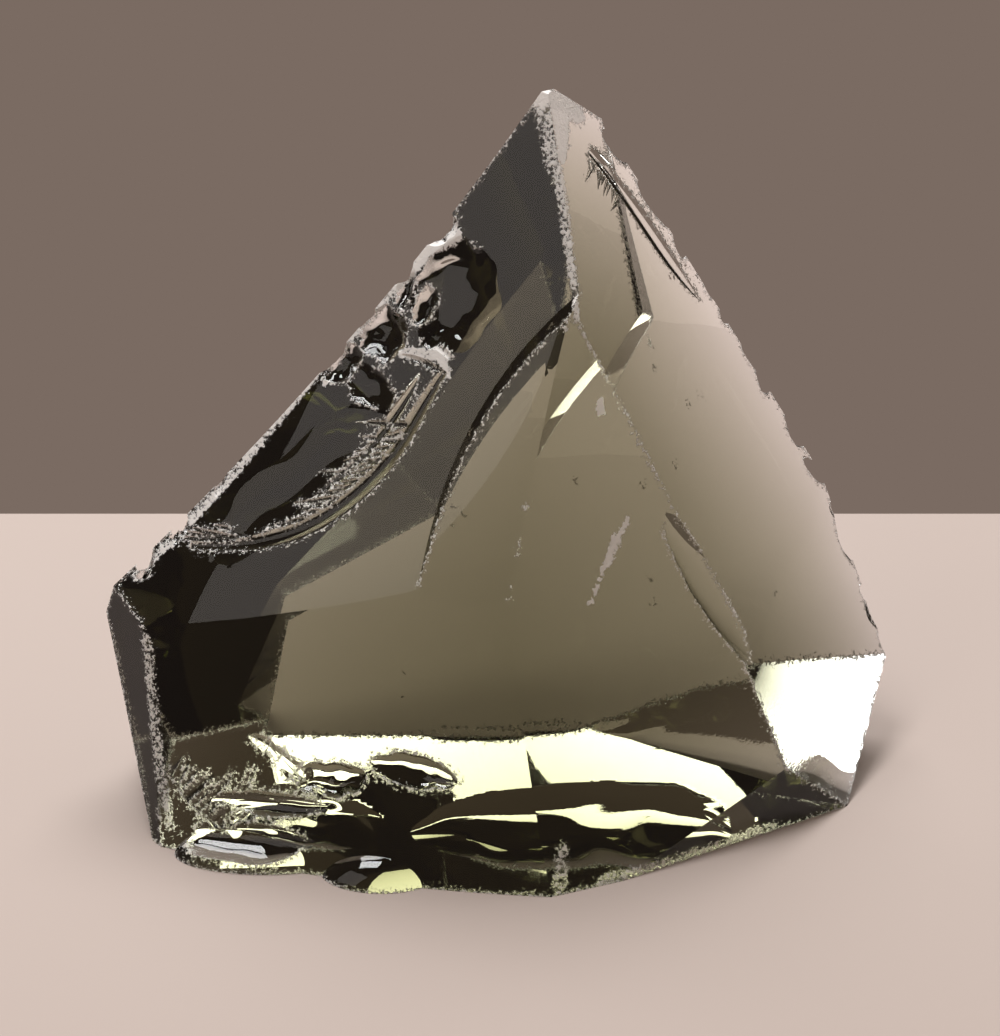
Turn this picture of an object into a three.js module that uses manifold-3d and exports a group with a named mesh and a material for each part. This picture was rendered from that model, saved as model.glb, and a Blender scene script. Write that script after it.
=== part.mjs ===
// A broken chunk of clear smoky glass, left over from a furnace.
//
// The chunk is one solid. It starts as a rough block, and every face of it is a
// fracture: a large, slightly bowed sheet, a ledge where a fracture stopped at a
// low wall, or the shallow scar that a flake leaves when it is struck off. Each
// fracture is a cutter that is taken away from the block. Lengths are in
// millimetres, +Z is up, and the chunk stands on its flat base with its sharp
// front edge towards -Y.

import * as THREE from 'three';
import { mergeVertices } from 'three/addons/utils/BufferGeometryUtils.js';
import Module from 'manifold-3d';

const wasm = await Module();
wasm.setup();

// The rough block before it is broken.
const BLOCK_LOW = [-60, -10, 0];
const BLOCK_HIGH = [60, 75, 95];

// A sheet cutter is a slab whose underside is the fracture.
const SHEET_HALF_WIDTH = 75;
const SHEET_THICKNESS = 90;
const SHEET_CELLS = 40;

// Curvatures are given in thousandths of 1/mm: 10 is a radius of 100 mm.
const CURVATURE_UNIT = 0.001;

// A scar cutter is an ellipsoid whose centre stands this many scar depths above
// the face, which sets how steep the rim of the scar is.
const SCAR_RISE = 2;
const SCAR_MIN_SEGMENTS = 16;
const SCAR_MAX_SEGMENTS = 60;
const SCAR_SEGMENTS_PER_MM = 3.2;

// Each sheet fracture passes through `at` and faces `turn` degrees to the right
// of the front and `tilt` degrees above the horizontal. `bow` is its curvature
// across, along and on the diagonal of the face, and is positive where the
// glass bulges.
const SHEETS = {
  lowerLeftFront: { at: [-21, 10.5, 14.3], turn: -15.7, tilt: 24.4, bow: [6, -1, -1] },
  lowerRightFront: { at: [15.8, 16.7, 26.6], turn: 20.8, tilt: 23.6, bow: [0, -1.4, -0.4] },
  middleFront: { at: [-3.8, 18.5, 38.9], turn: -11.9, tilt: 29.6, bow: [-0.2, -0.4, -0.3] },
  rightFace: { at: [20.5, 30, 43], turn: 57, tilt: 29, bow: [0, 0.4, 0] },
  upperLeftFace: { at: [-14, 22.8, 39.1], turn: -26, tilt: 36.7, bow: [6.3, -3.1, -2.7] },
  farLeftFace: { at: [-43, 20, 14], turn: -52, tilt: 15, bow: [-0.5, -0.5, 0.5] },
  leftFootUndercut: { at: [-43.8, 20, 10.7], turn: -100, tilt: -22 },
  rightFootUndercut: { at: [41.4, 18, 0], turn: 150.5, tilt: -62 },
  lowerRightChamfer: { at: [32, 13.7, 7.4], turn: 30, tilt: 3 },
  upperBack: { at: [-22, 36.7, 45], turn: 204.5, tilt: 5 },
  upperBackRight: { at: [22, 47.2, 57.5], turn: 165, tilt: 3 },
  lowerBackRight: { at: [41.5, 41.3, 22.3], turn: 170, tilt: -17 },
  peakTop: { at: [6, 44, 79.9], turn: 0, tilt: 82, bow: [6, 6, 0] },
};

// A ledge is a sheet fracture, the floor, that stops at others, its walls.
const LEDGES = {
  lowerBackMiddle: {
    floor: { at: [33, 45.2, 39], turn: 184, tilt: -8 },
    walls: [
      { at: [-3.8, 23, 45.5], turn: 65.3, tilt: -23.5, bow: [0, -14.5, 0], roll: -36 },
    ],
  },
  lowerBackLeft: {
    floor: { at: [33, 45.2, 39], turn: 184, tilt: -8 },
    walls: [
      { at: [-15.9, 19.2, 33.9], turn: 43, tilt: -44 },
      { at: [-26.2, 15, 20.7], turn: 80, tilt: -8.6 },
    ],
  },
  lowerBackUpperRight: {
    floor: { at: [33, 45.2, 39], turn: 184, tilt: -8 },
    walls: [
      { at: [7.8, 27.4, 59.3], turn: 81.6, tilt: 0 },
    ],
  },
  curvedStep: {
    floor: { at: [-13.8, 23.4, 38.6], turn: -26, tilt: 39, bow: [6.3, -3.1, -2.7] },
    walls: [
      { at: [-2.4, 23.3, 47.9], turn: -75, tilt: 36, bow: [0, 12, 0], roll: 8 },
    ],
  },
};

// A scar lies on a face at `at`. It reaches half[0] across and half[1] along the
// face from there, turned by `roll`, and is `depth` deep in the middle.
const SCARS = {
  upperLeftFlake: { at: [-21.4, 28.4, 41.6], half: [7, 20], depth: 2, turn: -29, tilt: 37, roll: -40 },
  notch: { at: [-6.6, 39.2, 65.8], half: [1.9, 3], depth: 1.4, turn: -60, tilt: 25, roll: -20 },
  notchChip: { at: [-9.4, 36.8, 61], half: [2.6, 3.6], depth: 1.1, turn: -40, tilt: 34, roll: -30 },
  shoulderChipHigh: { at: [-9.6, 33.8, 56.8], half: [3.2, 3.6], depth: 1.1, turn: -22, tilt: 36, roll: 20 },
  shoulderChipLow: { at: [-14.6, 36, 55.8], half: [3.6, 3], depth: 1.1, turn: -44, tilt: 36, roll: -30 },
  shoulderChipLeft: { at: [-19.4, 34.4, 50], half: [3, 3.4], depth: 0.8, turn: -48, tilt: 34, roll: -30 },
  towerScar: { at: [-2.2, 33.6, 61.4], half: [4.8, 6.6], depth: 0.9, turn: -30, tilt: 36, roll: 24 },
  frontRidgeSliver: { at: [22.6, 20.9, 30.6], half: [2.2, 11.5], depth: 1.5, turn: 37, tilt: 24, roll: 19 },
  lowerLeftShelf: { at: [-28, 7, 3.4], half: [9, 1.8], depth: 1.2, turn: -18, tilt: 8, roll: 4 },
  lowerLeftShelfTop: { at: [-27, 8.6, 6.8], half: [9, 1.5], depth: 0.9, turn: -18, tilt: 18, roll: 6 },
  lowerLeftBruise: { at: [-20.2, 8.8, 10.2], half: [3.8, 1.8], depth: 1, turn: -10, tilt: 22, roll: 3 },
  lowerFrontWindow: { at: [-10, 7, 12.4], half: [5, 1.9], depth: 1.2, turn: -14, tilt: 14, roll: -6 },
  backFlake: { at: [20, 43.6, 26], half: [12, 14], depth: 0.45, turn: 184, tilt: -8, roll: 25 },
  backHeelFlake: { at: [4, 39, 0], half: [14, 4.5], depth: 1.3, turn: 188, tilt: -40, roll: 0 },
  backRightFlake: { at: [44.5, 38.6, 15], half: [2.2, 5], depth: 0.6, turn: 150, tilt: -8, roll: 20 },
  edgeFlake: { at: [40.2, 41.6, 26.4], half: [2.4, 4.4], depth: 0.8, turn: 92, tilt: 22, roll: -18 },
  underMiddle: { at: [9, 20, 0], half: [15, 8.5], depth: 1.1, turn: 0, tilt: -90, roll: 0 },
  underLeft: { at: [-22, 17, 0], half: [9, 7], depth: 0.9, turn: 0, tilt: -90, roll: 25 },
};

// Rows of small nicks along the sharp edges. A row follows its points, and its
// nicks vary in size between the two values of `half`.
const NICK_ROWS = {
  rightEdge: {
    along: [[12.5, 48.4, 71], [22, 47.2, 57.6], [33, 45.2, 39], [40.5, 42, 24], [46, 36.8, 11]],
    count: 15, half: [0.8, 1.9], depth: 0.5, turn: 108, tilt: 14,
  },
  leftEdge: {
    along: [[-11.9, 38.7, 60.6], [-20.1, 36.6, 52.2], [-31.8, 31.6, 37.4], [-43, 27.6, 26]],
    count: 12, half: [0.8, 1.9], depth: 0.5, turn: -84, tilt: 20,
  },
};
const NICK_SEED = 41;
const NICK_SWING = 25;

// Lumps of glass that stand proud of the sheet fracture named, which ran round them.
const LUMPS = {
  frontFoot: { sheet: 'lowerLeftFront', at: [-14, 4.6, -1.6], radii: [7.6, 4.8, 4.6] },
  leftShelf: { sheet: 'lowerLeftFront', at: [-27.5, 8.4, -1], radii: [11, 4.6, 5] },
  farLeftNub: { sheet: 'farLeftFace', at: [-45.3, 22.6, 10], radii: [1.8, 2.2, 3] },
};
const LUMP_SEGMENTS = 24;

/** Unit vector that faces `turn` degrees right of the front and `tilt` degrees up. */
function facing(turn, tilt) {
  const a = THREE.MathUtils.degToRad(turn);
  const e = THREE.MathUtils.degToRad(tilt);
  return new THREE.Vector3(Math.sin(a) * Math.cos(e), -Math.cos(a) * Math.cos(e), Math.sin(e));
}

/** Matrix that carries a cutter's own axes (across, along, outwards) onto a face. */
function faceFrame({ at, turn, tilt, roll = 0 }, rise = 0) {
  const outwards = facing(turn, tilt);
  const angle = THREE.MathUtils.degToRad(turn);
  const across = new THREE.Vector3(Math.cos(angle), Math.sin(angle), 0);
  across.applyAxisAngle(outwards, THREE.MathUtils.degToRad(roll));
  const along = new THREE.Vector3().crossVectors(outwards, across);
  const place = new THREE.Vector3(...at).addScaledVector(outwards, rise);
  return new THREE.Matrix4().makeBasis(across, along, outwards).setPosition(place);
}

/** Turns a closed geometry into a solid that can be cut. */
function solidFrom(geometry) {
  geometry.deleteAttribute('normal');
  geometry.deleteAttribute('uv');
  const merged = mergeVertices(geometry);
  const vertProperties = Float32Array.from(merged.getAttribute('position').array);
  const triVerts = Uint32Array.from(merged.getIndex().array);
  return new wasm.Manifold(new wasm.Mesh({ numProp: 3, vertProperties, triVerts }));
}

/** Turns a solid back into a geometry. */
function geometryFrom(solid) {
  const mesh = solid.getMesh();
  const geometry = new THREE.BufferGeometry();
  geometry.setAttribute('position', new THREE.BufferAttribute(mesh.vertProperties, 3));
  geometry.setIndex(new THREE.BufferAttribute(mesh.triVerts, 1));
  geometry.computeVertexNormals();
  return geometry;
}

/** The rough block. */
function roughBlock() {
  const size = BLOCK_HIGH.map((high, i) => high - BLOCK_LOW[i]);
  const middle = BLOCK_HIGH.map((high, i) => (high + BLOCK_LOW[i]) / 2);
  return solidFrom(new THREE.BoxGeometry(...size).translate(...middle));
}

/** A slab whose underside is the fracture surface. */
function sheetCutter(fracture) {
  const width = 2 * SHEET_HALF_WIDTH;
  const cells = fracture.bow ? SHEET_CELLS : 1;
  const slab = new THREE.BoxGeometry(width, width, SHEET_THICKNESS, cells, cells, 1);
  slab.translate(0, 0, SHEET_THICKNESS / 2);
  const [across, along, diagonal] = (fracture.bow ?? [0, 0, 0]).map((k) => k * CURVATURE_UNIT);
  const points = slab.getAttribute('position');
  for (let i = 0; i < points.count; i += 1) {
    const a = points.getX(i);
    const b = points.getY(i);
    const isUnderside = points.getZ(i) < SHEET_THICKNESS / 2;
    const sag = (across * a * a + along * b * b) / 2 + diagonal * a * b;
    if (isUnderside) points.setZ(i, -sag);
  }
  return solidFrom(slab.applyMatrix4(faceFrame(fracture)));
}

/** A round lump of glass. */
function lumpSolid({ at, radii }) {
  const ball = new THREE.SphereGeometry(1, LUMP_SEGMENTS, LUMP_SEGMENTS / 2);
  return solidFrom(ball.scale(...radii).translate(...at));
}

/** A sheet cutter that leaves the lumps of its face standing. */
function sheetCutterRoundLumps([name, fracture]) {
  const lumps = Object.values(LUMPS).filter(({ sheet }) => sheet === name);
  return lumps.reduce((cutter, lump) => cutter.subtract(lumpSolid(lump)), sheetCutter(fracture));
}

/** The part of a floor sheet that lies beyond its wall sheets. */
function ledgeCutter({ floor, walls }) {
  return walls.reduce((cutter, wall) => cutter.intersect(sheetCutter(wall)), sheetCutter(floor));
}

/** An ellipsoid that leaves a shallow scar. */
function scarCutter(scar) {
  const rise = SCAR_RISE * scar.depth;
  const deep = rise + scar.depth;
  const spread = Math.sqrt(1 - (rise / deep) ** 2);
  const [across, along] = scar.half.map((half) => half / spread);
  const wanted = Math.round(SCAR_MIN_SEGMENTS + SCAR_SEGMENTS_PER_MM * Math.max(...scar.half));
  const segments = Math.min(SCAR_MAX_SEGMENTS, wanted);
  const ball = new THREE.SphereGeometry(1, segments, Math.round(segments / 2));
  return solidFrom(ball.scale(across, along, deep).applyMatrix4(faceFrame(scar, rise)));
}

/** Even random numbers from 0 to 1 that are the same on every run. */
function randomNumbers(seed) {
  const multiplier = 16807;
  const modulus = 2147483647;
  let state = seed;
  return () => {
    state = (state * multiplier) % modulus;
    return state / modulus;
  };
}

/** The scars of one row of nicks. */
function nicksOfRow({ along, count, half, depth, turn, tilt }, random) {
  const route = new THREE.CurvePath();
  along.slice(1).forEach((end, i) => {
    route.add(new THREE.LineCurve3(new THREE.Vector3(...along[i]), new THREE.Vector3(...end)));
  });
  return Array.from({ length: count }, (_, i) => {
    const at = route.getPoint((i + random()) / count).toArray();
    const size = THREE.MathUtils.lerp(half[0], half[1], random());
    const longer = 1 + random();
    const swing = NICK_SWING * (2 * random() - 1);
    const depthHere = (depth * size) / half[1];
    return { at, half: [size, size * longer], depth: depthHere, turn: turn + swing, tilt: tilt + swing };
  });
}

/** Breaks the block down to the chunk. */
function breakChunk() {
  const random = randomNumbers(NICK_SEED);
  const nicks = Object.values(NICK_ROWS).flatMap((row) => nicksOfRow(row, random));
  const cutters = [
    ...Object.entries(SHEETS).map(sheetCutterRoundLumps),
    ...Object.values(LEDGES).map(ledgeCutter),
    ...Object.values(SCARS).map(scarCutter),
    ...nicks.map(scarCutter),
  ];
  return cutters.reduce((chunk, cutter) => chunk.subtract(cutter), roughBlock());
}

/** Puts the origin at the middle of the base of the geometry's box. */
function standOnOrigin(geometry) {
  geometry.computeBoundingBox();
  const middle = geometry.boundingBox.getCenter(new THREE.Vector3());
  return geometry.translate(-middle.x, -middle.y, -geometry.boundingBox.min.z);
}

const glass = new THREE.MeshStandardMaterial({ color: 0x8f9180, roughness: 0.05, metalness: 0 });
const chunk = new THREE.Mesh(standOnOrigin(geometryFrom(breakChunk())), glass);
chunk.name = 'glass_chunk';

const part = new THREE.Group();
part.add(chunk);

export default part;
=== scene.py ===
"""A broken chunk of clear smoky glass that stands on a pale floor under soft light."""

import logging
import math
from collections.abc import Iterable, Sequence
from dataclasses import dataclass
from enum import Enum

import bmesh
import bpy
import numpy as np
from mathutils import Matrix, Vector, kdtree, noise


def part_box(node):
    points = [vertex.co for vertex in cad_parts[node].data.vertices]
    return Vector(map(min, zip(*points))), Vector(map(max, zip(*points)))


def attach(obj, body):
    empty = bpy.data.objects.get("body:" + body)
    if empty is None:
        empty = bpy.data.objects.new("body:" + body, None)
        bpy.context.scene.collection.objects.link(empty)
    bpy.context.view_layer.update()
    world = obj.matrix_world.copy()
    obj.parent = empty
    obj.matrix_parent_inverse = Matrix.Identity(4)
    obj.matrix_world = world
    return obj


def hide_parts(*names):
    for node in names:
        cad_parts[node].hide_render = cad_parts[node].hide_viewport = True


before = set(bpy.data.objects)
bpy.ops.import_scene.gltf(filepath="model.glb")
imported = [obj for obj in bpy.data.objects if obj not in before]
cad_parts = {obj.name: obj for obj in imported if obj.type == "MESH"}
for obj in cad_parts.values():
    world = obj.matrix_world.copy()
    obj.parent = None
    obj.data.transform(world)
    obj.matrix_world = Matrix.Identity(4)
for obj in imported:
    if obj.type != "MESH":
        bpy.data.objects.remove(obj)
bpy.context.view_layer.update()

log = logging.getLogger("scene")

MM = 0.001
NODE = "glass_chunk"
Point = tuple[float, float, float]
Colour = tuple[float, float, float, float]

# The point of the modelling space, in millimetres, that is the origin of the finished chunk.
ORIGIN_MM: Point = (-0.248, 25.426, 0.0)

# Curvatures are given in thousandths of 1/mm.
CURVATURE_UNIT = 0.001

# The size in millimetres of the slow waves that make a fracture uneven.
UNEVENNESS_SIZE = 9.0

# The angle in degrees by which a nick may turn away from its row's face.
NICK_SWING = 25.0

# How bent the splinters are, in radians, and how thin their tips are.
HACKLE_BEND = 0.5
HACKLE_TIP = 0.15

# How steeply a band's frost rises from its edge.
FROST_STEEPNESS = 1.7


class Operation(Enum):
    """What a Boolean does with the second shape, by its modifier's own name."""

    JOIN = "UNION"
    CUT = "DIFFERENCE"
    KEEP_COMMON = "INTERSECT"


class Tone(Enum):
    """The plain tones of the scene, as display values from 0 to 255."""

    BACKDROP = (122.0, 107.0, 98.0)
    FLOOR = (172.0, 159.0, 152.0)
    # The white of frosted glass, also used for one painted highlight spot.
    FROST_AND_HIGHLIGHT = (246.0, 242.0, 238.0)
    CLEAR = (255.0, 255.0, 255.0)

    def linear(self) -> Colour:
        """Gives the tone's linear colour."""
        red, green, blue = (linear_channel(value) for value in self.value)
        return (red, green, blue, 1.0)


def linear_channel(value: float) -> float:
    """Gives the linear value, from 0 to 1, of a display value from 0 to 255."""
    v = value / 255.0
    return v / 12.92 if v <= 0.04045 else ((v + 0.055) / 1.055) ** 2.4


def facing(turn: float, tilt: float) -> Vector:
    """Gives a face's outward direction.

    Args:
        turn: Degrees to the right of the front.
        tilt: Degrees above the horizontal.

    Returns:
        The unit vector.
    """
    a, e = math.radians(turn), math.radians(tilt)
    return Vector((math.sin(a) * math.cos(e), -math.cos(a) * math.cos(e), math.sin(e)))


def face_frame(at: Sequence[float], turn: float, tilt: float, roll: float = 0.0) -> Matrix:
    """Gives the axes of a face: across, along and outwards.

    Args:
        at: The point of the face that becomes its own origin.
        turn: Degrees to the right of the front.
        tilt: Degrees above the horizontal.
        roll: Degrees that the face's own axes are turned on it.

    Returns:
        The matrix from the face's own axes to the modelling space.
    """
    outwards = facing(turn, tilt)
    angle = math.radians(turn)
    across = Vector((math.cos(angle), math.sin(angle), 0.0))
    across = Matrix.Rotation(math.radians(roll), 3, outwards) @ across
    along = outwards.cross(across)
    axes = Matrix((across, along, outwards)).transposed().to_4x4()
    return Matrix.Translation(at) @ axes


def smooth_step(low: float, high: float, value: float) -> float:
    """Rises smoothly from 0 at low to 1 at high."""
    t = min(1.0, max(0.0, (value - low) / (high - low)))
    return t * t * (3.0 - 2.0 * t)


def between(limits: tuple[float, float], share: float) -> float:
    """Gives the value that lies a share of the way from the first limit to the second."""
    return limits[0] + (limits[1] - limits[0]) * share


class RandomNumbers:
    """Even random numbers from 0 to 1 that are the same on every run."""

    MULTIPLIER = 16807
    MODULUS = 2147483647

    def __init__(self, seed: int) -> None:
        """Starts the numbers from a seed."""
        self.state = seed

    def __call__(self) -> float:
        """Gives the next number."""
        self.state = (self.state * self.MULTIPLIER) % self.MODULUS
        return self.state / self.MODULUS


@dataclass(frozen=True)
class Ripples:
    """Rings that spread over a fracture from the point where it began, in millimetres."""

    centre: tuple[float, float]
    height: float
    spacing: float
    inner: float
    outer: float

    def lift(self, a: float, b: float) -> float:
        """Gives the height of the rings at a point of the face.

        Args:
            a: Distance across the face in millimetres.
            b: Distance along the face in millimetres.

        Returns:
            The height in millimetres.
        """
        r = math.hypot(a - self.centre[0], b - self.centre[1])
        if not self.inner < r < self.outer:
            return 0.0
        fade = smooth_step(self.inner, self.inner + self.spacing, r)
        fade *= 1.0 - smooth_step(self.outer - self.spacing, self.outer, r)
        return self.height * fade * math.sin(2.0 * math.pi * r / self.spacing)


@dataclass(frozen=True)
class Sheet:
    """A large fracture face: it faces turn and tilt, and bulges across, along and on its diagonal."""

    at: Point
    turn: float
    tilt: float
    bow: tuple[float, float, float] = (0.0, 0.0, 0.0)
    roll: float = 0.0
    ripples: tuple[Ripples, ...] = ()
    unevenness: float = 0.03

    def height(self, a: float, b: float) -> float:
        """Gives the height of the fracture above its own plane.

        Args:
            a: Distance across the face in millimetres.
            b: Distance along the face in millimetres.

        Returns:
            The height in millimetres.
        """
        across, along, diagonal = (k * CURVATURE_UNIT for k in self.bow)
        level = -(across * a * a + along * b * b) / 2.0 - diagonal * a * b
        level += sum(rings.lift(a, b) for rings in self.ripples)
        wave = noise.noise(Vector((a / UNEVENNESS_SIZE, b / UNEVENNESS_SIZE, self.turn)))
        return level + self.unevenness * wave


@dataclass(frozen=True)
class Ledge:
    """A fracture, the floor, that stops at others, its walls."""

    floor: Sheet
    walls: tuple[Sheet, ...]


@dataclass(frozen=True)
class Scar:
    """The shallow bowl that a flake leaves: its middle, half widths, depth and face."""

    at: Point
    half: tuple[float, float]
    depth: float
    turn: float
    tilt: float
    roll: float = 0.0


@dataclass(frozen=True)
class Lump:
    """Glass that stands proud of a sheet, which ran round it."""

    sheet: str
    at: Point
    radii: Point


@dataclass(frozen=True)
class NickRow:
    """A row of small nicks along an edge: its route, number and the limits of their size."""

    along: tuple[Point, ...]
    count: int
    half: tuple[float, float]
    depth: float
    turn: float
    tilt: float

    def scars(self, draw: RandomNumbers) -> list[Scar]:
        """Gives the scars of the row.

        Args:
            draw: The source of their places and sizes.

        Returns:
            One scar for each nick.
        """
        points = [Vector(p) for p in self.along]
        lengths = [(q - p).length for p, q in zip(points, points[1:])]
        total = sum(lengths)
        scars = []
        for i in range(self.count):
            reach = total * (i + draw()) / self.count
            leg = 0
            while leg < len(lengths) - 1 and reach > lengths[leg]:
                reach -= lengths[leg]
                leg += 1
            at = points[leg].lerp(points[leg + 1], reach / lengths[leg])
            size = between(self.half, draw())
            longer = 1.0 + draw()
            swing = NICK_SWING * (2.0 * draw() - 1.0)
            depth = self.depth * size / self.half[1]
            scars.append(
                Scar(tuple(at), (size, size * longer), depth, self.turn + swing, self.tilt + swing)
            )
        return scars


@dataclass(frozen=True)
class Groove:
    """A narrow round-bottomed channel along a face: its route in millimetres and its shape."""

    route: tuple[Point, ...]
    radius: float
    depth: float
    turn: float
    tilt: float
    ends: tuple[float, float] = (0.25, 0.25)

    def width_share(self, i: int) -> float:
        """Gives the share of its full width that the groove has at one point of its route.

        A groove that starts at its full width narrows evenly to its tip. Any other is widest
        in the middle.

        Args:
            i: The number of the point, from 0.

        Returns:
            The share.
        """
        last = len(self.route) - 1
        if self.ends[0] == 1.0:
            return 1.0 + (self.ends[1] - 1.0) * i / last
        end = self.ends[0] if 2 * i < last else self.ends[1]
        return 1.0 + (end - 1.0) * abs(2.0 * i / last - 1.0) ** 2


@dataclass(frozen=True)
class Hackle:
    """Feathery splinters: tapering grooves that run from a line over a face."""

    line: tuple[Point, ...]
    reach: Point
    count: int
    length: tuple[float, float]
    radius: tuple[float, float]
    depth: float
    turn: float
    tilt: float

    def grooves(self, draw: RandomNumbers) -> list[Groove]:
        """Gives the splinters.

        Args:
            draw: The source of their places, sizes and bends.

        Returns:
            One tapering groove for each splinter.
        """
        points = [Vector(p) for p in self.line]
        outwards = facing(self.turn, self.tilt)
        made = []
        for i in range(self.count):
            along = (len(points) - 1) * (i + draw()) / self.count
            leg = min(int(along), len(points) - 2)
            start = points[leg].lerp(points[leg + 1], along - leg)
            length = between(self.length, draw() ** 2)
            radius = between(self.radius, draw())
            bend = Matrix.Rotation(HACKLE_BEND * (draw() - 0.5), 3, outwards)
            reach = bend @ Vector(self.reach)
            curl = Matrix.Rotation(HACKLE_BEND * (draw() - 0.5), 3, outwards)
            route = (start, start + reach * length * 0.5, start + (reach + curl @ reach) * length * 0.5)
            depth = self.depth * radius / self.radius[1]
            route = tuple(tuple(point) for point in route)
            made.append(Groove(route, radius, depth, self.turn, self.tilt, (1.0, HACKLE_TIP)))
        return made


@dataclass(frozen=True)
class Frost:
    """A ground, granular band, or a painted highlight spot: its points in millimetres, half width,
    strength and tip width.
    """

    path: tuple[Point, ...]
    width: float
    strength: float
    tip: float = 1.0

    def strengths(self, places: np.ndarray) -> np.ndarray:
        """Gives how strongly the band frosts each point.

        Args:
            places: The points.

        Returns:
            The strengths.
        """
        best = np.zeros(len(places))
        legs = len(self.path) - 1
        for i, (start, end) in enumerate(zip(self.path, self.path[1:])):
            p, q = np.array(start), np.array(end)
            leg = q - p
            t = np.clip(((places - p) @ leg) / (leg @ leg), 0.0, 1.0)
            away = np.linalg.norm(places - (p + t[:, None] * leg), axis=1)
            width = self.width * (1.0 + (self.tip - 1.0) * (i + t) / legs)
            best = np.maximum(best, np.clip(FROST_STEEPNESS * (1.0 - away / width), 0.0, 1.0))
        return self.strength * best


# All places below are in the modelling space, in millimetres, and all angles are in degrees.

# The large faces: a point, turn and tilt, then how much each bulges.
SHEETS: dict[str, Sheet] = {
    "base": Sheet((0, 22, 0), 0, -90, unevenness=0.006),
    "lowerLeftFront": Sheet((-21, 10.5, 14.3), -15.7, 24.4, (6, -1, -1)),
    "lowerRightFront": Sheet(
        (15.8, 16.7, 26.6), 20.8, 23.6, (0, -1.4, -0.4),
        ripples=(Ripples((-4.5, 2.0), 0.01, 2.6, 6.0, 17.0),),
    ),
    "middleFront": Sheet((-3.8, 18.5, 38.9), -11.9, 29.6, (-0.2, -0.4, -0.3)),
    "rightFace": Sheet((20.5, 30, 43), 57, 29, (0, 0.4, 0)),
    "upperLeftFace": Sheet((-14, 22.8, 39.1), -26, 36.7, (6.3, -3.1, -2.7)),
    "farLeftFace": Sheet((-43, 20, 14), -52, 15, (-0.5, -0.5, 0.5)),
    "leftFootUndercut": Sheet((-43.8, 20, 10.7), -100, -22),
    "rightFootUndercut": Sheet((41.4, 18, 0), 150.5, -62),
    "lowerRightChamfer": Sheet((32, 13.7, 7.4), 30, 3),
    "upperBack": Sheet((-22, 36.7, 45), 204.5, 5),
    "upperBackRight": Sheet((22, 47.2, 57.5), 165, 3),
    "lowerBackRight": Sheet((41.5, 41.3, 22.3), 170, -17),
    "peakTop": Sheet((6, 44, 79.9), 0, 82, (6, 6, 0)),
}

# The ledges: a floor and the walls that it stops at.
LEDGES: dict[str, Ledge] = {
    "lowerBackMiddle": Ledge(
        Sheet((33, 45.2, 39), 184, -8),
        (Sheet((-3.8, 23, 45.5), 65.3, -23.5, (0, -14.5, 0), roll=-36),),
    ),
    "lowerBackLeft": Ledge(
        Sheet((33, 45.2, 39), 184, -8),
        (Sheet((-15.9, 19.2, 33.9), 43, -44), Sheet((-26.2, 15, 20.7), 80, -8.6)),
    ),
    "lowerBackUpperRight": Ledge(
        Sheet((33, 45.2, 39), 184, -8),
        (Sheet((11.1, 50, 50), 111.9, 0),),
    ),
    "curvedStep": Ledge(
        Sheet((-13.8, 23.4, 38.6), -26, 39, (6.3, -3.1, -2.7)),
        (Sheet((-2.4, 23.3, 47.9), -75, 36, (0, 12, 0), roll=8),),
    ),
}

# The scars: middle, half widths and depth, then the turn, tilt and roll of the face.
SCARS: dict[str, Scar] = {
    "upperLeftFlake": Scar((-21.4, 28.4, 41.6), (7, 20), 2, -29, 37, -40),
    "notch": Scar((-6.6, 41.3, 64.7), (1.6, 2.2), 1.2, -60, 25, -20),
    "notchChip": Scar((-11.3, 39.4, 58.6), (1.2, 2.9), 0.9, -32, 36, 10),
    "shoulderChipHigh": Scar((-8.8, 36.9, 57.3), (1.7, 2.8), 1, -26, 36, -8),
    "shoulderChipLow": Scar((-13.7, 36.5, 53.4), (3.4, 3.1), 1.2, -34, 36, -30),
    "shoulderChipLeft": Scar((-18.4, 36.3, 49.8), (2.1, 2.9), 1, -40, 34, -30),
    "towerScar": Scar((-5.4, 36, 58.6), (5.2, 6.4), 0.9, -30, 34, 24),
    "shoulderLens": Scar((-15.6, 33, 48.2), (4.2, 2.2), 0.6, -29, 38, -25),
    "frontRidgeSliver": Scar((22.6, 20.9, 30.6), (2.2, 11.5), 1.5, 37, 24, 19),
    "lowerLeftShelf": Scar((-28, 7, 3.4), (9, 1.8), 1.2, -18, 8, 4),
    "lowerLeftShelfTop": Scar((-27, 8.6, 6.8), (9, 1.5), 0.9, -18, 18, 6),
    "lowerLeftBruise": Scar((-20.2, 8.8, 10.2), (3.8, 1.8), 1, -10, 22, 3),
    "lowerFrontWindow": Scar((-10, 7, 12.4), (5, 1.9), 1.2, -14, 14, -6),
    "backFlake": Scar((20, 43.6, 26), (12, 14), 0.45, 184, -8, 25),
    "backHeelFlake": Scar((4, 39, 0), (14, 4.5), 1.3, 188, -40, 0),
    "backRightFlake": Scar((44.5, 38.6, 15), (2.2, 5), 0.6, 150, -8, 20),
    "edgeFlake": Scar((40.2, 41.6, 26.4), (2.4, 4.4), 0.8, 92, 22, -18),
    "underMiddle": Scar((9, 18, 0.2), (16, 9.5), 0.9, 0, -85, 0),
    "underLeft": Scar((-22, 17, 0), (9, 7), 0.9, 0, -90, 25),
}

# The rows of nicks: route, number, least and greatest half width, depth, turn and tilt.
NICK_ROWS: dict[str, NickRow] = {
    "rightEdge": NickRow(
        ((12.5, 48.4, 71), (22, 47.2, 57.6), (33, 45.2, 39), (40.5, 42, 24), (46, 36.8, 11)),
        15, (0.8, 1.9), 0.5, 108, 14,
    ),
    "leftEdge": NickRow(
        ((-11.9, 38.7, 60.6), (-20.1, 36.6, 52.2), (-31.8, 31.6, 37.4), (-43, 27.6, 26)),
        12, (0.8, 1.9), 0.5, -84, 20,
    ),
}

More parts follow.
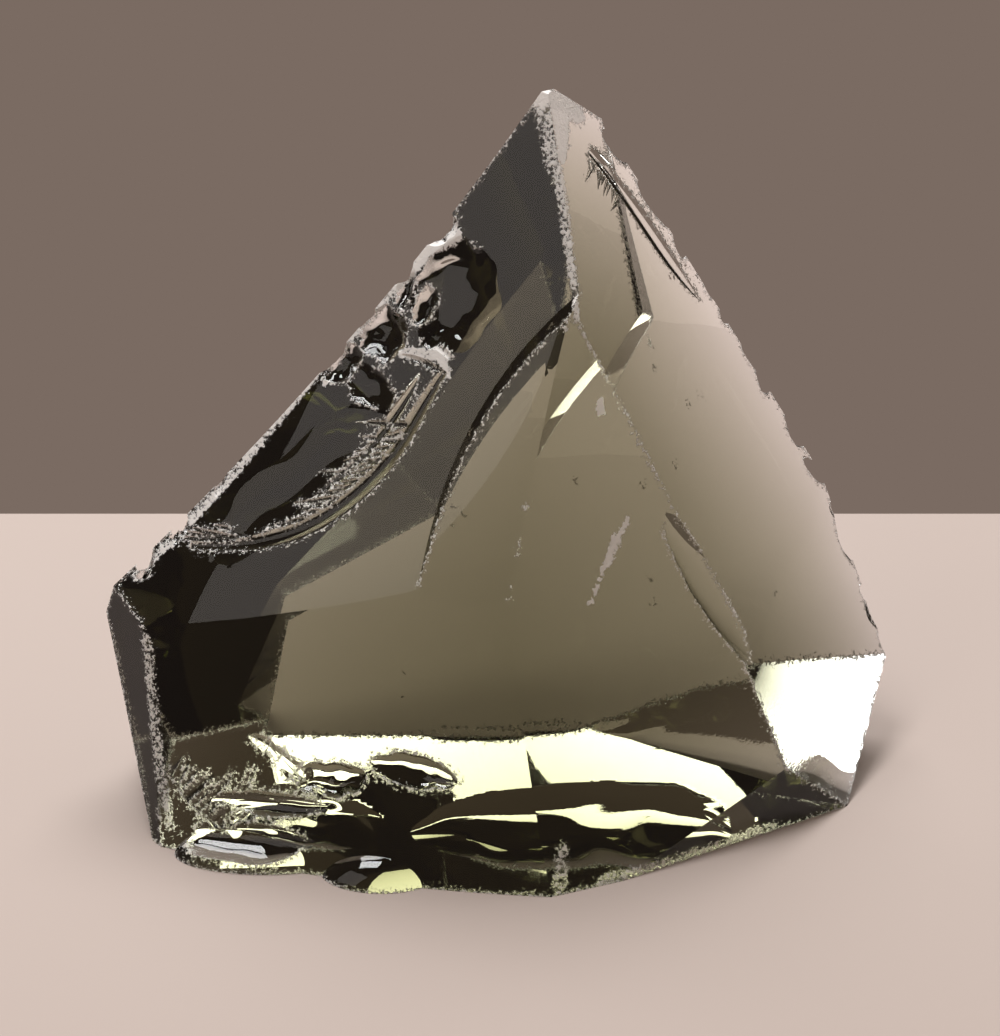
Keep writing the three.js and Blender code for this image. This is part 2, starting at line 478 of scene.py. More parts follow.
# The lumps: the sheet that each stands on, its middle and its radii.
LUMPS: dict[str, Lump] = {
    "frontFoot": Lump("lowerLeftFront", (-14, 4.6, -1.6), (7.6, 4.8, 4.6)),
    "leftShelf": Lump("lowerLeftFront", (-27.5, 8.4, -1), (11, 4.6, 5)),
    "farLeftNub": Lump("farLeftFace", (-45.3, 22.6, 10), (1.8, 2.2, 3)),
}

# The grooves: route, radius and depth, then the turn and tilt of the face and how wide the ends are.
GROOVES: dict[str, Groove] = {
    "flakeRim": Groove(
        (
            (-6.7, 30.9, 51.6), (-8.4, 29.9, 49.3), (-10.5, 28.2, 45.9), (-13, 26.5, 42.5),
            (-16.5, 25.2, 39.1), (-20, 24.5, 36.4), (-23.5, 24.4, 34.3), (-27.6, 25.1, 32.4),
            (-32.3, 26.4, 30.9), (-36.5, 28, 30.1),
        ),
        1.7, 0.75, -29, 39, (0.35, 0.35),
    ),
    "flakeInner": Groove(
        (
            (-9.4, 32.2, 50.4), (-12.2, 29.9, 46.2), (-15.4, 28.3, 42.6), (-19.5, 27.1, 39),
            (-24, 26.8, 36), (-29.5, 27.6, 33.4),
        ),
        1.3, 0.4, -29, 39, (0.2, 0.2),
    ),
    "chipHigh": Groove(((-9, 34.4, 54.2), (-7.3, 33, 53.8), (-5.9, 31.4, 52.7)), 0.9, 0.45, -29, 37),
    "chipLow": Groove(((-11.7, 34, 52), (-9, 32.6, 51.8), (-6.3, 30.4, 51.3)), 0.8, 0.4, -29, 37),
    "lineHigh": Groove(((-5.9, 36.3, 58.9), (-6.4, 33.4, 54.9)), 0.5, 0.25, -29, 36),
    "lineLow": Groove(((-7.3, 35.4, 56.8), (-7.9, 34, 54.6)), 0.6, 0.3, -29, 36),
    "backSliver": Groove(
        ((8.7, 48.3, 70.8), (12.7, 47.8, 66.8), (17.5, 47.1, 59.4), (20, 46.7, 55.6), (22.5, 46.4, 52.5)),
        1.4, 0.85, 184, -8, (0.5, 0.1),
    ),
    "shoulderLine": Groove(((-20.7, 35.6, 47.5), (-17.8, 35.4, 49.3)), 0.5, 0.3, -30, 39),
}

# The splinters: the line that they start from, their direction, their number, their least and greatest
# length and radius, their depth, and the turn and tilt of the face.
HACKLES: dict[str, Hackle] = {
    "flakeHigh": Hackle(
        ((-11.2, 28.6, 45.6), (-13.6, 27, 42.4), (-17, 25.8, 39.2), (-20.4, 25.1, 36.5)),
        (-0.87, 0.4, -0.25), 16, (2.5, 7.5), (0.5, 0.9), 0.35, -29, 39,
    ),
    "flakeLow": Hackle(
        ((-20.4, 25.1, 36.5), (-23.8, 25, 34.6), (-27.8, 25.6, 32.8), (-33.5, 27.4, 31)),
        (-0.88, 0.45, -0.12), 16, (2.5, 8.0), (0.5, 0.9), 0.35, -29, 40,
    ),
    "backComb": Hackle(
        ((8.2, 48.2, 69.6), (12, 47.7, 65.4), (16.6, 47, 58.4), (21.6, 46.3, 51.4)),
        (-0.45, -0.16, -0.88), 26, (1.2, 3.0), (0.25, 0.4), 0.16, 184, -8,
    ),
    "footFan": Hackle(
        ((-38.6, 13.4, 8), (-37, 11.6, 5.6), (-33.5, 9.5, 3), (-29, 8.5, 5)),
        (0.6, 0.12, 0.79), 14, (4.0, 11.0), (0.9, 1.8), 0.4, -19, 25,
    ),
    "footFanHigh": Hackle(
        ((-28.5, 12.4, 13.6), (-24, 9.9, 10.4), (-20.5, 8.3, 8.8)),
        (-0.8, 0.38, 0.46), 10, (3.0, 7.0), (0.8, 1.5), 0.35, -18, 25,
    ),
}

# The frosted bands, and one painted highlight spot: path, half width, strength, and the width of the tip
# where it isn't 1.
FROSTS: dict[str, Frost] = {
    "apexTop": Frost(((4, 44.8, 79.6), (6.5, 45.6, 78.6), (8.6, 46.6, 76.6)), 1.8, 0.95),
    "apexPatch": Frost(((6.6, 44.6, 77.8), (6.9, 42.4, 75.4), (6.7, 40.6, 73.6)), 2.2, 1.1, 0.3),
    "apexRidge": Frost(((4.2, 44.4, 79), (5, 42.2, 76.4), (5.8, 40, 73.4)), 1.8, 0.55),
    "towerRidge": Frost(((6.2, 39.8, 73), (6.9, 37, 69.6), (7.4, 34.4, 66)), 1.1, 0.6),
    "towerRidgeLow": Frost(((7.4, 34.4, 66), (7.9, 31.6, 62.6), (8.4, 28.3, 59.6)), 0.8, 0.65),
    "leftBackEdge": Frost(
        (
            (-5, 41.6, 65), (-12.2, 39.6, 58.2), (-22, 36.6, 48), (-31.9, 32.2, 36.7),
            (-36.6, 30.2, 31.9), (-43, 27.6, 26),
        ),
        1.0, 0.65,
    ),
    "underNotch": Frost(((-5.5, 40.3, 64.3), (-8.4, 40.7, 62.4), (-12.2, 39.6, 58.2)), 1.3, 0.9),
    "chipTriangle": Frost(((-11.5, 34, 52.2), (-6.6, 32.2, 52.8)), 1.2, 0.75),
    "chipPoint": Frost(((-7.6, 32.6, 53.4), (-6.3, 30.4, 51.3)), 1.2, 0.9, 0.3),
    "streakHigh": Frost(((-6.4, 33.4, 54.9), (-5.9, 36.3, 58.9)), 0.4, 1.2, 0.4),
    "streakLow": Frost(((-7.9, 34, 54.6), (-7.3, 35.4, 56.8)), 0.5, 1.2, 0.4),
    "shoulderLine": Frost(((-20.7, 35.6, 47.5), (-17.8, 35.4, 49.3)), 0.35, 1.1),
    "shoulderRim": Frost(((-19.4, 37.6, 51), (-21.4, 36.2, 48.4), (-23.8, 35.6, 46)), 0.6, 1.0),
    "farLeftRidge": Frost(
        ((-41.6, 21.5, 21), (-40.9, 18, 15), (-40.2, 14.5, 8.9), (-39, 10, 2.6), (-36.3, 7, 1.4)),
        1.3, 0.5,
    ),
    "crackHead": Frost(((12.9, 19.8, 35.6), (11.9, 18.3, 33.2)), 1.1, 0.8, 0.6),
    "crackTail": Frost(((14.3, 21.1, 37.4), (12.2, 19, 34.4), (10, 15.7, 29.3)), 0.4, 1.1, 0.4),
    # A white spot painted where a small lamp's reflection shows on the front face: a painted highlight,
    # not frost.
    "paintedHighlightSpot": Frost(((11.1, 25.5, 50.4), (11.1, 25.1, 49.4)), 0.55, 1.5),
    "ridgeFoot": Frost(((6.8, 2.6, 4.6), (6.5, 0.2, 0.7)), 1.3, 0.5),
    "chippedEdge": Frost(((11.2, 2, 0.4), (18.1, 5.1, 0.5), (24.5, 9, 0.5), (32, 13, 0.5)), 1.2, 0.5),
}


def object_from(bm: bmesh.types.BMesh, name: str) -> bpy.types.Object:
    """Turns a bmesh into an object of the scene.

    Args:
        bm: The bmesh, which is freed.
        name: The object's name.

    Returns:
        The object.
    """
    mesh = bpy.data.meshes.new(name)
    bm.to_mesh(mesh)
    bm.free()
    made = bpy.data.objects.new(name, mesh)
    bpy.context.scene.collection.objects.link(made)
    return made


def box_mesh(low: Sequence[float], high: Sequence[float]) -> bmesh.types.BMesh:
    """Makes a box.

    Args:
        low: Its lowest corner.
        high: Its highest corner.

    Returns:
        The bmesh.
    """
    bm = bmesh.new()
    size = [top - bottom for bottom, top in zip(low, high)]
    middle = [(top + bottom) / 2.0 for bottom, top in zip(low, high)]
    place = Matrix.Translation(middle) @ Matrix.Diagonal((*size, 1.0))
    bmesh.ops.create_cube(bm, size=1.0, matrix=place)
    return bm


@dataclass
class Breaker:
    """Breaks a rough block down to the chunk with Boolean cutters, in millimetres.

    A sheet's cutter is a slab whose underside is the fracture: fine in the middle, with one wide
    ring of cells round the outside. A scar's cutter is an ellipsoid whose centre stands a few
    scar depths above the face. A groove's cutter is a tapering bar.
    """

    block_low: Point = (-60.0, -10.0, -5.0)
    block_high: Point = (60.0, 75.0, 95.0)
    sheet_half_width: float = 78.0
    sheet_fine_half_width: float = 54.0
    sheet_thickness: float = 90.0
    sheet_cell: float = 0.7
    scar_rise: float = 2.0
    scar_waves: float = 2.4
    scar_unevenness: float = 0.2
    finer_scars_above: tuple[float, float] = (2.0, 6.0)
    least_detail: int = 4
    groove_roundness: int = 12
    groove_smoothness: int = 10
    groove_order: int = 4
    groove_merge: float = 0.0005
    nick_seed: int = 41
    hackle_seed: int = 7

    def break_chunk(self, name: str) -> bpy.types.Object:
        """Breaks the block down to the chunk.

        Args:
            name: The chunk's name.

        Returns:
            The chunk, in millimetres in the modelling space.
        """
        body = object_from(box_mesh(self.block_low, self.block_high), name)
        cutters = [
            *self.sheet_cutters(),
            *self.ledge_cutters(),
            *self.scar_cutters(),
            *self.groove_cutters(),
        ]
        return self.combine(body, cutters, Operation.CUT)

    def sheet_cutters(self) -> list[bpy.types.Object]:
        """Makes the cutters of the large faces, with the lumps that they run round left out.

        Returns:
            One cutter for each sheet.
        """
        cutters = []
        for name, sheet in SHEETS.items():
            cutter = self.sheet_cutter(name, sheet)
            lumps = [
                self.ellipsoid(title, Matrix.Translation(lump.at), lump.radii, self.least_detail)
                for title, lump in LUMPS.items()
                if lump.sheet == name
            ]
            cutters.append(self.combine(cutter, lumps, Operation.CUT) if lumps else cutter)
        return cutters

    def ledge_cutters(self) -> list[bpy.types.Object]:
        """Makes the cutters of the ledges.

        Returns:
            One cutter for each ledge.
        """
        cutters = []
        for name, ledge in LEDGES.items():
            floor = self.sheet_cutter(name, ledge.floor)
            walls = [self.sheet_cutter(name + "Wall", wall) for wall in ledge.walls]
            cutters.append(self.combine(floor, walls, Operation.KEEP_COMMON))
        return cutters

    def scar_cutters(self) -> list[bpy.types.Object]:
        """Makes the cutters of the scars and of the rows of nicks.

        Returns:
            One cutter for each scar and each nick.
        """
        scars = list(SCARS.items())
        draw = RandomNumbers(self.nick_seed)
        for name, row in NICK_ROWS.items():
            scars += [(f"{name}{i}", scar) for i, scar in enumerate(row.scars(draw))]
        return [self.scar_cutter(name, scar) for name, scar in scars]

    def groove_cutters(self) -> list[bpy.types.Object]:
        """Makes the cutters of all the grooves and splinters, joined where they may overlap.

        Returns:
            One cutter for the grooves and one for each set of splinters.
        """
        sets = [GROOVES]
        draw = RandomNumbers(self.hackle_seed)
        for name, hackle in HACKLES.items():
            sets.append({f"{name}{i}": groove for i, groove in enumerate(hackle.grooves(draw))})
        made = []
        for grooves in sets:
            first, *others = (self.groove_cutter(name, groove) for name, groove in grooves.items())
            made.append(self.combine(first, others, Operation.JOIN))
        return made

    def sheet_cutter(self, name: str, sheet: Sheet) -> bpy.types.Object:
        """Makes a slab whose underside is the fracture.

        Args:
            name: The cutter's name.
            sheet: The fracture.

        Returns:
            The cutter.
        """
        bm = bmesh.new()
        fine = self.sheet_fine_half_width
        cells = int(2.0 * fine / self.sheet_cell)
        bmesh.ops.create_grid(bm, x_segments=cells, y_segments=cells, size=fine)
        rim = fine - self.sheet_cell / 2.0
        for vert in bm.verts:
            a, b = (
                math.copysign(self.sheet_half_width, value) if abs(value) > rim else value
                for value in vert.co.xy
            )
            vert.co = (a, b, sheet.height(a, b))
        top = bmesh.ops.extrude_face_region(bm, geom=list(bm.faces))["geom"]
        for vert in top:
            if isinstance(vert, bmesh.types.BMVert):
                vert.co.z = self.sheet_thickness
        bmesh.ops.recalc_face_normals(bm, faces=list(bm.faces))
        place = face_frame(sheet.at, sheet.turn, sheet.tilt, sheet.roll)
        bmesh.ops.transform(bm, matrix=place, verts=list(bm.verts))
        return object_from(bm, name)

    def ellipsoid(self, name: str, place: Matrix, radii: Sequence[float], detail: int) -> bpy.types.Object:
        """Makes an ellipsoid.

        Args:
            name: The object's name.
            place: The matrix of its own axes.
            radii: Its radii along those axes.
            detail: The number of times its faces are divided.

        Returns:
            The object.
        """
        bm = bmesh.new()
        whole = place @ Matrix.Diagonal((*radii, 1.0))
        bmesh.ops.create_icosphere(bm, subdivisions=detail, radius=1.0, matrix=whole)
        return object_from(bm, name)

    def scar_cutter(self, name: str, scar: Scar) -> bpy.types.Object:
        """Makes the ellipsoid that leaves a scar.

        Args:
            name: The cutter's name.
            scar: The scar.

        Returns:
            The cutter.
        """
        rise = self.scar_rise * scar.depth
        deep = rise + scar.depth
        spread = math.sqrt(1.0 - (rise / deep) ** 2)
        place = face_frame(scar.at, scar.turn, scar.tilt, scar.roll)
        place = place @ Matrix.Translation((0.0, 0.0, rise))
        radii = (scar.half[0] / spread, scar.half[1] / spread, deep)
        size = max(scar.half)
        detail = self.least_detail + sum(size > limit for limit in self.finer_scars_above)
        cutter = self.ellipsoid(name, place, radii, detail)
        self.roughen(cutter, Vector(scar.at), size)
        return cutter

    def roughen(self, cutter: bpy.types.Object, middle: Vector, size: float) -> None:
        """Makes a cutter's outline uneven.

        Args:
            cutter: The cutter.
            middle: The point that it is stretched from.
            size: Its rough size in millimetres.
        """
        for vert in cutter.data.vertices:
            arm = vert.co - middle
            wave = noise.noise(arm * (self.scar_waves / size) + middle)
            vert.co = middle + arm * (1.0 + self.scar_unevenness * wave)

    def groove_cutter(self, name: str, groove: Groove) -> bpy.types.Object:
        """Makes the tapering round bar that leaves a groove.

        Args:
            name: The cutter's name.
            groove: The groove.

        Returns:
            The cutter.
        """
        bar = bpy.data.objects.new(name, self.groove_curve(name, groove))
        bpy.context.scene.collection.objects.link(bar)
        graph = bpy.context.evaluated_depsgraph_get()
        bm = bmesh.new()
        bm.from_mesh(bar.evaluated_get(graph).to_mesh())
        bpy.data.objects.remove(bar)
        bmesh.ops.remove_doubles(bm, verts=list(bm.verts), dist=self.groove_merge)
        bmesh.ops.recalc_face_normals(bm, faces=list(bm.faces))
        return object_from(bm, name)

    def groove_curve(self, name: str, groove: Groove) -> bpy.types.Curve:
        """Makes the smooth curve along a groove, as thick as its bar.

        Args:
            name: The curve's name.
            groove: The groove.

        Returns:
            The curve.
        """
        curve = bpy.data.curves.new(name, "CURVE")
        curve.dimensions = "3D"
        curve.bevel_depth = groove.radius
        curve.bevel_resolution = self.groove_roundness
        curve.resolution_u = self.groove_smoothness
        curve.use_fill_caps = True
        spline = curve.splines.new("NURBS")
        spline.points.add(len(groove.route) - 1)
        outwards = facing(groove.turn, groove.tilt)
        for i, (point, place) in enumerate(zip(spline.points, groove.route)):
            share = groove.width_share(i)
            height = share * (groove.radius - groove.depth)
            point.co = (*(Vector(place) + outwards * height), 1.0)
            point.radius = share
        spline.order_u = min(self.groove_order, len(groove.route))
        spline.use_endpoint_u = True
        return curve

    def combine(
        self, body: bpy.types.Object, others: Iterable[bpy.types.Object], operation: Operation
    ) -> bpy.types.Object:
        """Joins, cuts or intersects a body with others, and removes the others.

        Args:
            body: The object that changes.
            others: The objects that it is combined with.
            operation: What is done with each of them.

        Returns:
            The body.
        """
        others = list(others)
        for other in others:
            modifier = body.modifiers.new(other.name, "BOOLEAN")
            modifier.operation = operation.value
            modifier.solver = "MANIFOLD"
            modifier.object = other
        graph = bpy.context.evaluated_depsgraph_get()
        mesh = bpy.data.meshes.new_from_object(body.evaluated_get(graph))
        body.modifiers.clear()
        body.data = mesh
        for other in others:
            bpy.data.objects.remove(other)
        return body


class Nodes:
    """Builds the nodes of one material."""

    # The colour sockets of a Mix node, by number, because other sockets share their names.
    MIX_SHARE = 0
    MIX_FIRST = 6
    MIX_SECOND = 7
    MIX_RESULT = 2

    def __init__(self, name: str) -> None:
        """Starts a material with a shader and an output.

        Args:
            name: The material's name.
        """
        self.material = bpy.data.materials.new(name)
        self.material.use_nodes = True
        self.tree = self.material.node_tree
        self.shader = self.tree.nodes["Principled BSDF"]
        self.output = self.tree.nodes["Material Output"]

    def add(self, kind: str, inputs: dict | None = None, **options: object) -> bpy.types.Node:
        """Adds a node.

        Args:
            kind: The node's type.
            inputs: A value or a linked socket for each named or numbered input.
            options: The node's own settings.

        Returns:
            The node.
        """
        node = self.tree.nodes.new(kind)
        for key, value in options.items():
            setattr(node, key, value)
        for key, value in (inputs or {}).items():
            self.put(node, key, value)
        return node

    def put(self, node: bpy.types.Node, key: str | int, value: object) -> None:
        """Sets or links one input of a node.

        Args:
            node: The node.
            key: The input's name or number.
            value: A value, or the socket to link from.
        """
        if isinstance(value, bpy.types.NodeSocket):
            self.tree.links.new(value, node.inputs[key])
        else:
            node.inputs[key].default_value = value

    def calculate(self, operation: str, a: object, b: object = 0.0) -> bpy.types.NodeSocket:
        """Adds a sum of two values and gives its result."""
        return self.add("ShaderNodeMath", {0: a, 1: b}, operation=operation).outputs[0]

    def mix(self, share: bpy.types.NodeSocket, first: Tone, second: Tone) -> bpy.types.NodeSocket:
        """Adds a mix of two tones and gives its colour.

        Args:
            share: The value that is 0 for the first tone and 1 for the second.
            first: The first tone.
            second: The second tone.

        Returns:
            The colour.
        """
        inputs = {self.MIX_SHARE: share, self.MIX_FIRST: first.linear(), self.MIX_SECOND: second.linear()}
        return self.add("ShaderNodeMix", inputs, data_type="RGBA").outputs[self.MIX_RESULT]

    def noise(self, where: bpy.types.NodeSocket, scale: float, **detail: float) -> bpy.types.NodeSocket:
        """Adds a noise texture and gives its value.

        Args:
            where: The coordinates that it reads.
            scale: Its waves to the metre.
            detail: Its other inputs, by their names.

        Returns:
            The value.
        """
        inputs = {"Vector": where, "Scale": scale, **detail}
        return self.add("ShaderNodeTexNoise", inputs).outputs["Fac"]


@dataclass(frozen=True)
class SmokyGlass:
    """Clear smoky glass with frosted, chipped ridges, and one painted highlight spot in the frost's white.
    Where it is frosted, it follows the mesh.
    """

    ior: float = 1.5
    absorbed_per_metre: Point = (50.0, 50.0, 64.0)
    absorption_headroom: float = 1.25
    grain_scale: float = 2200.0
    grain_detail: float = 4.0
    grain_roughness: float = 0.7
    grain_weight: float = 2.2
    frost_limits: tuple[float, float] = (0.35, 0.75)
    frost_onset: float = 8.0
    frost_roughness: float = 0.65
    frost_whiteness: float = 0.65
    fibre_scale: float = 2400.0
    fibre_detail: float = 2.0
    fibre_stretch: Point = (1.0, 1.0, 0.3)
    fibre_height: float = 0.02
    patch_scale: float = 60.0
    patch_detail: float = 1.0
    patch_limits: tuple[float, float] = (0.45, 0.65)
    bump_strength: float = 0.5
    bump_distance: float = 0.0002

    def build(self) -> bpy.types.Material:
        """Makes the material.

        Returns:
            The material.
        """
        nodes = Nodes("smoky_glass")
        shader = nodes.shader
        # The frost attribute also holds one painted highlight spot, which this turns white like frost.
        frost = nodes.add("ShaderNodeAttribute", attribute_name="frost").outputs["Fac"]
        where = nodes.add("ShaderNodeTexCoord").outputs["Object"]
        grain = nodes.noise(
            where, self.grain_scale, Detail=self.grain_detail, Roughness=self.grain_roughness
        )
        mask = self.mask(nodes, frost, grain)
        colour = nodes.mix(mask, Tone.CLEAR, Tone.FROST_AND_HIGHLIGHT)
        white = nodes.calculate("MULTIPLY", mask, self.frost_whiteness)
        relief = self.relief(nodes, where, nodes.calculate("MULTIPLY", grain, mask))
        nodes.put(shader, "Base Color", colour)
        nodes.put(shader, "Roughness", nodes.calculate("MULTIPLY", mask, self.frost_roughness))
        nodes.put(shader, "Transmission Weight", nodes.calculate("SUBTRACT", 1.0, white))
        nodes.put(shader, "IOR", self.ior)
        nodes.put(shader, "Normal", relief)
        self.absorb(nodes)
        return nodes.material

    def mask(
        self, nodes: Nodes, frost: bpy.types.NodeSocket, grain: bpy.types.NodeSocket
    ) -> bpy.types.NodeSocket:
        """Breaks the smooth frost up into grains.

        Args:
            nodes: The material's nodes.
            frost: How frosted the mesh is.
            grain: A fine noise.

        Returns:
            The value that is 1 on a frosted grain and 0 on clear glass.
        """
        swing = nodes.calculate("MULTIPLY", nodes.calculate("SUBTRACT", grain, 0.5), self.grain_weight)
        low, high = self.frost_limits
        edge = nodes.add(
            "ShaderNodeMapRange",
            {"Value": nodes.calculate("ADD", frost, swing), "From Min": low, "From Max": high},
            interpolation_type="SMOOTHSTEP",
        ).outputs[0]
        present = nodes.calculate("MINIMUM", nodes.calculate("MULTIPLY", frost, self.frost_onset), 1.0)
        return nodes.calculate("MULTIPLY", edge, present)

    def relief(
        self, nodes: Nodes, where: bpy.types.NodeSocket, grains: bpy.types.NodeSocket
    ) -> bpy.types.NodeSocket:
        """Makes the very fine relief of the frost's grains and of faint patches of upright fibres.

        Args:
            nodes: The material's nodes.
            where: The coordinates on the chunk.
            grains: The height of the frost's grains.

        Returns:
            The normal.
        """
        drawn = nodes.add("ShaderNodeMapping", {"Vector": where, "Scale": self.fibre_stretch}).outputs[0]
        fibres = nodes.noise(drawn, self.fibre_scale, Detail=self.fibre_detail)
        patches = nodes.noise(where, self.patch_scale, Detail=self.patch_detail)
        low, high = self.patch_limits
        here = nodes.add(
            "ShaderNodeMapRange",
            {"Value": patches, "From Min": low, "From Max": high, "To Max": self.fibre_height},
        ).outputs[0]
        height = nodes.calculate("ADD", grains, nodes.calculate("MULTIPLY", fibres, here))
        return nodes.add(
            "ShaderNodeBump",
            {"Strength": self.bump_strength, "Distance": self.bump_distance, "Height": height},
        ).outputs[0]

    def absorb(self, nodes: Nodes) -> None:
        """Adds the smoky tint, which deepens with the length of glass that the light crosses.

        Args:
            nodes: The material's nodes.
        """
        top = max(self.absorbed_per_metre) * self.absorption_headroom
        tint = [1.0 - a / top for a in self.absorbed_per_metre]
        absorption = nodes.add("ShaderNodeVolumeAbsorption", {"Color": (*tint, 1.0), "Density": top})
        nodes.tree.links.new(absorption.outputs[0], nodes.output.inputs["Volume"])


@dataclass(frozen=True)
class PaleFloor:
    """A plain pale matt surface."""

    tone: Tone = Tone.FLOOR
    roughness: float = 0.95
    specular_level: float = 0.1

    def build(self) -> bpy.types.Material:
        """Makes the material.

        Returns:
            The material.
        """
        nodes = Nodes("pale_floor")
        nodes.put(nodes.shader, "Base Color", self.tone.linear())
        nodes.put(nodes.shader, "Roughness", self.roughness)
        nodes.put(nodes.shader, "Specular IOR Level", self.specular_level)
        return nodes.material


@dataclass
class GlassChunk:
    """The chunk itself, finely broken and dressed. Lengths are in millimetres."""

    name: str = "smoky_glass_chunk"
    glass: SmokyGlass = SmokyGlass()
    bands: tuple[Frost, ...] = tuple(FROSTS.values())
    merge_within: float = 0.004
    smooth_below: float = 13.0
    ridge_angle: float = 30.0
    ridge_width: float = 0.9
    ridge_strength: float = 0.5
    refinements: int = 2
    finest_cell: float = 0.26

    def build(self) -> bpy.types.Object:
        """Breaks, places and dresses the chunk.

        Returns:
            The chunk.
        """
        chunk = Breaker().break_chunk(self.name)
        self.clean(chunk)
        self.refine(chunk)
        self.frost(chunk)
        self.place(chunk)
        chunk.data.materials.clear()
        chunk.data.materials.append(self.glass.build())
        chunk.data.polygons.foreach_set("use_smooth", [True] * len(chunk.data.polygons))
        chunk.data.set_sharp_from_angle(angle=math.radians(self.smooth_below))
        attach(chunk, "root")
        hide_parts(NODE)
        return chunk

    def clean(self, chunk: bpy.types.Object) -> None:
        """Merges the points that the cutters left on top of each other.

        Args:
            chunk: The chunk.
        """
        bm = bmesh.new()
        bm.from_mesh(chunk.data)
        bmesh.ops.remove_doubles(bm, verts=list(bm.verts), dist=self.merge_within)
        self.split_wide_faces(bm)
        bm.to_mesh(chunk.data)
        bm.free()

    def refine(self, chunk: bpy.types.Object) -> None:
        """Divides the faces in the frosted bands, so that the frost has a crisp outline.

        Args:
            chunk: The chunk.
        """
        bm = bmesh.new()
        bm.from_mesh(chunk.data)
        for _ in range(self.refinements):
            middles = np.array([(e.verts[0].co + e.verts[1].co) / 2.0 for e in bm.edges])
            chosen = np.zeros(len(middles), dtype=bool)
            for band in self.bands:
                chosen |= band.strengths(middles) > 0.0
            chosen &= np.array([e.calc_length() for e in bm.edges]) > self.finest_cell
            edges = [e for e, wanted in zip(list(bm.edges), chosen) if wanted]
            bmesh.ops.subdivide_edges(bm, edges=edges, cuts=1, use_grid_fill=True)
            self.split_wide_faces(bm)
        bm.to_mesh(chunk.data)
        bm.free()

    def split_wide_faces(self, bm: bmesh.types.BMesh) -> None:
        """Divides the faces that have more than four corners."""
        bmesh.ops.triangulate(bm, faces=[f for f in bm.faces if len(f.verts) > 4])

    def frost(self, chunk: bpy.types.Object) -> None:
        """Writes how frosted each point is, from its distance to the ridges and the bands. One band is a
        painted highlight spot, not frost.

        Args:
            chunk: The chunk.
        """
        mesh = chunk.data
        values = self.ridge_frost(mesh)
        places = np.empty(len(mesh.vertices) * 3, dtype=np.float32)
        mesh.vertices.foreach_get("co", places)
        places = places.reshape(-1, 3)
        for band in self.bands:
            values = np.maximum(values, band.strengths(places))
        # The frost attribute also holds the painted highlight spot.
        attribute = mesh.attributes.new("frost", "FLOAT", "POINT")
        attribute.data.foreach_set("value", values.astype(np.float32))

    def ridge_frost(self, mesh: bpy.types.Mesh) -> np.ndarray:
        """Gives the frost along the sharp ridges.

        Args:
            mesh: The chunk's mesh.

        Returns:
            A value for each point.
        """
        bm = bmesh.new()
        bm.from_mesh(mesh)
        bm.normal_update()
        sharp = math.radians(self.ridge_angle)
        ridge = [
            (edge.verts[0].co + edge.verts[1].co) / 2.0
            for edge in bm.edges
            if len(edge.link_faces) == 2 and edge.calc_face_angle_signed(0.0) > sharp
        ]
        tree = kdtree.KDTree(len(ridge))
        for i, point in enumerate(ridge):
            tree.insert(point, i)
        tree.balance()
        values = np.zeros(len(mesh.vertices), dtype=np.float32)
        for i, vert in enumerate(bm.verts):
            away = tree.find(vert.co)[2]
            if away < self.ridge_width:
                values[i] = self.ridge_strength * (1.0 - away / self.ridge_width)
        bm.free()
        return values

    def place(self, chunk: bpy.types.Object) -> None:
        """Fits the chunk's box to the box of the part that it stands for.

        Args:
            chunk: The chunk, which is in millimetres before and in metres after.
        """
        low, high = (Vector(corner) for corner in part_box(NODE))
        corners = [Vector(c) for c in chunk.bound_box]
        own_low = Vector(tuple(min(c[i] for c in corners) for i in range(3)))
        own_high = Vector(tuple(max(c[i] for c in corners) for i in range(3)))
        scale = [
            (top - bottom) / (own_top - own_bottom)
            for bottom, top, own_bottom, own_top in zip(low, high, own_low, own_high)
        ]
        log.info("own box %s %s, fit %s", own_low, own_high, [round(s / MM, 4) for s in scale])
        move = Matrix.Translation(low) @ Matrix.Diagonal((*scale, 1.0)) @ Matrix.Translation(-own_low)
        chunk.data.transform(move)
        chunk.data.update()


@dataclass(frozen=True)
class SoftLight:
    """A rectangular soft light: place, aim and size in metres, and power in watts."""

    name: str
    at: Point
    size: tuple[float, float]
    watts: float
    colour: Point = (1.0, 1.0, 1.0)
    aim: Point = (0.0, 0.0, 0.03)

    def build(self) -> bpy.types.Object:
        """Makes the light.

        Returns:
            The light.
        """
        light = bpy.data.lights.new(self.name, "AREA")
        light.shape = "RECTANGLE"
        light.size, light.size_y = self.size
        light.energy = self.watts
        light.color = self.colour
        lamp = bpy.data.objects.new(self.name, light)
        lamp.location = self.at
        lamp.rotation_euler = (Vector(self.aim) - Vector(self.at)).to_track_quat("-Z", "Y").to_euler()
        bpy.context.scene.collection.objects.link(lamp)
        return lamp


